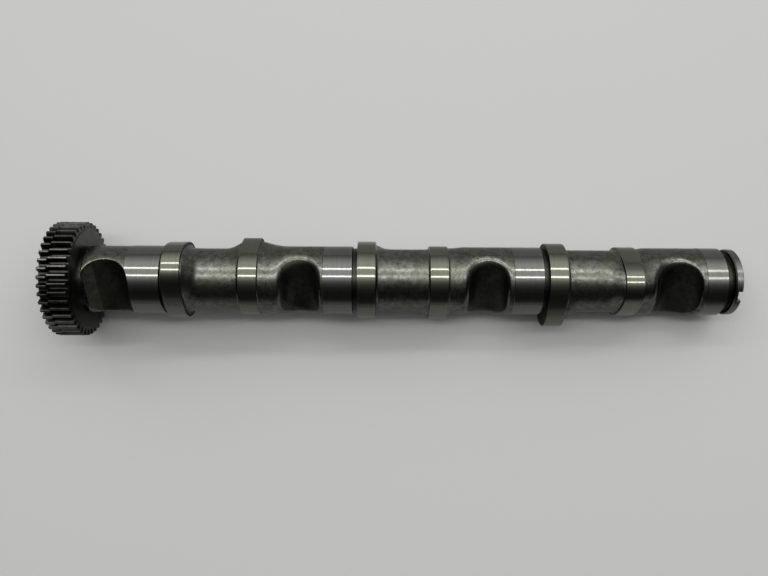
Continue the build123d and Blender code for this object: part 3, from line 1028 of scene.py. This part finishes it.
@dataclass
class Studio:
    """Pale floor, two long soft lamps overhead, a soft surround and the camera."""

    lens: float = 33.9
    camera_height: float = 352.5
    camera_x: float = 22.03
    camera_y: float = -3.8
    lean: float = 0.0045          # in radians; the gear end is nearer
    roll: float = 0.0050          # in radians
    floor_height: float = -27.45  # under the gear's teeth
    floor_from: float = -127.0    # station of that height
    floor_slope: float = 0.03598
    lamp_distance: float = 800.0
    lamp_length: float = 1160.0
    lamp_width: float = 52.0
    lamp_power: float = 2.3       # in watts
    lamp_angles: tuple[float, float] = (11.4, 36.5)

    def floor(self) -> None:
        """Floor that carries the gear's tips and the last journal's edge."""
        half = 3000.0
        x = np.array([-half, half, half, -half])
        y = np.array([-half, -half, half, half])
        z = self.floor_height + (x - self.floor_from) * self.floor_slope
        mesh = bpy.data.meshes.new("floor")
        mesh.from_pydata((np.stack([x, y, z], axis=-1) * MM).tolist(), [], [(0, 1, 2, 3)])
        mesh.materials.append(PaleFloor("pale_floor").build())
        piece = bpy.data.objects.new("floor", mesh)
        bpy.context.scene.collection.objects.link(piece)

    def lamps(self) -> None:
        """Two long lamps parallel to the shaft, at their angles from overhead."""
        for number, angle in enumerate(self.lamp_angles):
            turn = math.radians(angle)
            data = bpy.data.lights.new(f"lamp_{number}", "AREA")
            data.shape = "RECTANGLE"
            data.size, data.size_y = self.lamp_length * MM, self.lamp_width * MM
            data.energy = self.lamp_power
            lamp = bpy.data.objects.new(f"lamp_{number}", data)
            away = Vector((0.0, math.sin(turn), math.cos(turn)))
            spot = Vector((self.camera_x, 0.0, 0.0)) + away * self.lamp_distance
            lamp.matrix_world = Matrix.Translation(spot * MM) @ Matrix.Rotation(-turn, 4, "X")
            lamp.visible_camera = False
            bpy.context.scene.collection.objects.link(lamp)

    def surround(self) -> None:
        """Soft surround: bright from overhead towards +Y, dim on the -Y side and past the ends."""
        world = bpy.data.worlds.new("surround")
        bpy.context.scene.world = world
        world.use_nodes = True
        tree = world.node_tree
        way = node(tree, "ShaderNodeTexCoord").outputs["Generated"]
        parts = node(tree, "ShaderNodeSeparateXYZ", inputs={0: way})
        turn = node(tree, "ShaderNodeMath", {"operation": "ARCTAN2"}, {
            0: parts.outputs["Y"], 1: parts.outputs["Z"]})
        share = node(tree, "ShaderNodeMapRange", inputs={
            "Value": turn.outputs["Value"], "From Min": -math.pi, "From Max": math.pi})
        stops = [(-180, 0.3), (-90, 0.32), (-82, 0.24), (-75, 0.08), (-66, 0.05), (-45, 0.045), (-28, 0.09),
                 (-18, 0.19), (-11, 0.33), (-4, 0.62), (3, 1.25), (10, 1.7), (24, 1.85), (54, 1.95),
                 (63, 1.5), (72, 1.1), (80, 0.75), (90, 0.4), (180, 0.3)]
        colour = node(tree, "ShaderNodeValToRGB", inputs={"Fac": share.outputs["Result"]}, stops=[
            (angle / 360 + 0.5, grey(value)) for angle, value in stops])
        along = node(tree, "ShaderNodeMath", {"operation": "ABSOLUTE"}, {0: parts.outputs["X"]})
        ends = node(tree, "ShaderNodeMapRange", inputs={
            "Value": along.outputs["Value"], "From Min": 0.62, "From Max": 0.86,
            "To Min": 1.0, "To Max": 0.1})
        background = tree.nodes["Background"]
        tree.links.new(colour.outputs["Color"], background.inputs["Color"])
        tree.links.new(ends.outputs["Result"], background.inputs["Strength"])

    def camera(self) -> None:
        """Camera over the shaft, looking down across its axis."""
        data = bpy.data.cameras.new("camera")
        data.lens, data.sensor_width = self.lens, 36.0
        camera = bpy.data.objects.new("camera", data)
        back = Vector((-math.sin(self.lean), 0.0, math.cos(self.lean)))
        right = Vector((math.cos(self.roll), math.sin(self.roll), 0.0))
        right = (right - back * right.dot(back)).normalized()
        up = back.cross(right)
        spot = Vector((self.camera_x, self.camera_y, 0.0)) + back * self.camera_height
        turned = Matrix((right, up, back)).transposed().to_4x4()
        camera.matrix_world = Matrix.Translation(spot * MM) @ turned
        bpy.context.scene.collection.objects.link(camera)
        bpy.context.scene.camera = camera

    def build(self) -> None:
        """Builds the floor, the light and the camera."""
        self.floor()
        self.lamps()
        self.surround()
        self.camera()
        bpy.context.scene.view_settings.view_transform = "Standard"


def main() -> None:
    """Builds the camshaft, its gear and the studio."""
    logging.basicConfig(level=logging.INFO, format="%(message)s")
    ground = {f"journal_{i}": GroundIron(f"ground_journal_{i}").build() for i in (1, 2, 3)}
    ground["journal_4"] = GroundIron("ground_journal_4", smooth=0.13, rough=0.2).build()
    oiled = {"light": "#616259", "dark": "#5a5b51"}
    ground |= {f"lobe_{i}": GroundIron(f"ground_lobe_{i}", **oiled).build() for i in range(1, 7)}
    ground |= {f"core_{i}": CastSkin(f"cast_core_{i}").build() for i in (1, 2, 3)}
    ground |= {f"boss_{i}": CastSkin(f"cast_boss_{i}").build() for i in (1, 2, 3, 4)}
    ground["thrust_end"] = GroundIron("turned_thrust_end", rough=0.3, smooth=0.2).build()
    # The relief finish is painted shade: near-black steel that darkens the relief grooves, the journals'
    # end faces and the thrust groove.
    ground["relief"] = GroundIron(
        "turned_relief_painted_shade", light="#2f2f2d", dark="#232321", smooth=0.3, rough=0.42).build()
    ground["side"] = CastSkin(
        "cast_lobe_sides", light="#3c3c39", dark="#2b2b28", smooth=0.42, rough=0.55).build()
    # The pockets' finish is darker than the cast skin: painted shade inside the pockets.
    ground["pocket"] = CastSkin(
        "cast_pockets_painted_shade", light="#3b3b38", dark="#2a2a28", smooth=0.4, rough=0.5).build()
    ground["dry"] = CastSkin(
        "dry_cast_wall", light="#4c4d48", dark="#343530", smooth=0.6, rough=0.75).build()
    Camshaft(ground=ground).build()
    gear = {
        "fixed": ToolSteel("hobbed_gear_steel").build(),
        "loose": ToolSteel("hobbed_loose_gear_steel").build(),
        "tip": ToolSteel(
            "turned_tooth_tips", light="#595752", dark="#4a4944", smooth=0.2, rough=0.3).build(),
        "spring": ToolSteel("blued_spring_steel", light="#6f7074", dark="#525257").build(),
    }
    SplitGear(finish=gear).build()
    Studio().build()


if __name__ == "__main__":
    main()
